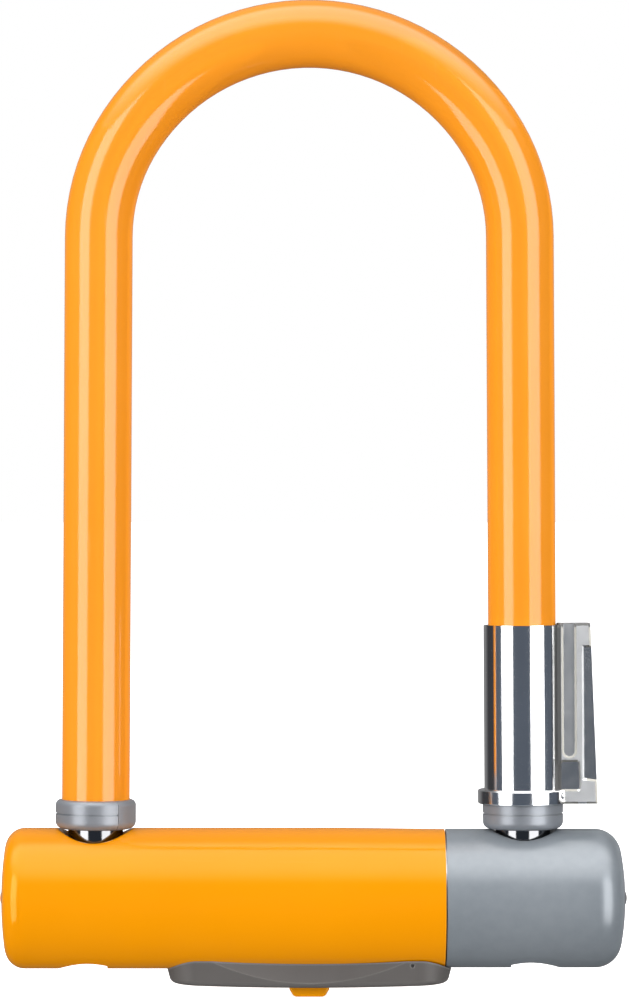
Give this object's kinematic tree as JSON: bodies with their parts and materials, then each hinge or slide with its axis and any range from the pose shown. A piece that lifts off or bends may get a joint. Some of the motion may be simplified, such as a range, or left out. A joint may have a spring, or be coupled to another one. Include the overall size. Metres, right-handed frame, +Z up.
{
  "type": "bicycle u lock",
  "caption": "Compact U-lock: a vinyl-covered steel shackle with collared feet, a keyed crossbar with sliding bolts, and a sliding bracket sleeve on one leg.",
  "frame": {"origin": "on the crossbar's axis, midway between the two legs, where the key's axis crosses it", "axes": "+X along the crossbar towards the grey end, +Z up the legs towards the arch, +Y towards the back"},
  "size_m": [0.1451, 0.0324, 0.2304],
  "materials": {
    "orange_vinyl": "semi-gloss",
    "orange_shell": "semi-gloss",
    "grey_shell": "satin",
    "collar_grey": "satin",
    "polished_alloy": "polished, with satin wings",
    "hardened_steel": "polished, dark",
    "plate_grey": "satin",
    "liner_black": "matte",
    "plated_steel": "polished",
    "tube_steel": "drawn",
    "rivet_steel": "satin",
    "cast_zinc": "cast",
    "brass": "machined"
  },
  "bodies": {
    "crossbar": {"crossbar_tube": "tube_steel", "crossbar_cover": "orange_shell", "crossbar_end_cap": "grey_shell", "left_end_plug": "cast_zinc", "right_end_plug": "cast_zinc", "left_end_rivet": "orange_shell", "right_end_rivet": "rivet_steel", "left_foot_socket": "cast_zinc", "right_foot_socket": "cast_zinc", "left_bolt_guide": "cast_zinc", "right_bolt_guide": "cast_zinc", "retaining_pins": "plated_steel", "cylinder_housing": "cast_zinc", "cylinder_clip": "plated_steel", "keyway_plate": "plate_grey"},
    "shackle": {"shackle_bar": "hardened_steel", "shackle_jacket": "orange_vinyl", "left_collar": "collar_grey", "left_collar_clip": "collar_grey", "right_collar": "collar_grey", "right_collar_clip": "collar_grey"},
    "bracket_liner": {"sleeve_liner": "liner_black"},
    "bracket": {"bracket_sleeve": "polished_alloy", "sleeve_stud": "polished_alloy"},
    "plug": {"cylinder_core": "brass", "anti_drill_disc": "plated_steel", "lock_discs": "brass", "disc_spacers": "plated_steel", "sidebar": "plated_steel", "drive_cam": "plated_steel", "drive_pins": "plated_steel"},
    "left_bolt": {"left_deadbolt": "plated_steel"},
    "right_bolt": {"right_deadbolt": "plated_steel"},
    "dust_cover": {"dust_cover": "orange_shell"}
  },
  "joints": [
    {"name": "shackle_lift", "type": "slide", "parent": "crossbar", "child": "shackle", "axis": [0, 0, 1], "range_m": [0, 0.045]},
    {"name": "bracket_slide", "type": "slide", "parent": "shackle", "child": "bracket_liner", "axis": [-0.0052, 0, 1], "range_m": [0, 0.08]},
    {"name": "bracket_turn", "type": "hinge", "parent": "bracket_liner", "child": "bracket", "pos_m": [0.04952, 0, 0], "axis": [-0.0052, 0, 1], "continuous": true},
    {"name": "plug_turn", "type": "hinge", "parent": "crossbar", "child": "plug", "pos_m": [0, 0, 0], "axis": [0, 0, 1], "range_deg": [0, 90]},
    {"name": "left_bolt_slide", "type": "slide", "parent": "crossbar", "child": "left_bolt", "axis": [-1, 0, 0], "range_m": [0, 0.0051]},
    {"name": "right_bolt_slide", "type": "slide", "parent": "crossbar", "child": "right_bolt", "axis": [1, 0, 0], "range_m": [0, 0.0051]},
    {"name": "dust_cover_slide", "type": "slide", "parent": "crossbar", "child": "dust_cover", "axis": [1, 0, 0], "range_m": [0, 0.0095]}
  ],
  "couplings": [
    {"joint": "left_bolt_slide", "follows": "plug_turn", "m_per_rad": 0.00324},
    {"joint": "right_bolt_slide", "follows": "plug_turn", "m_per_rad": 0.00324}
  ]
}
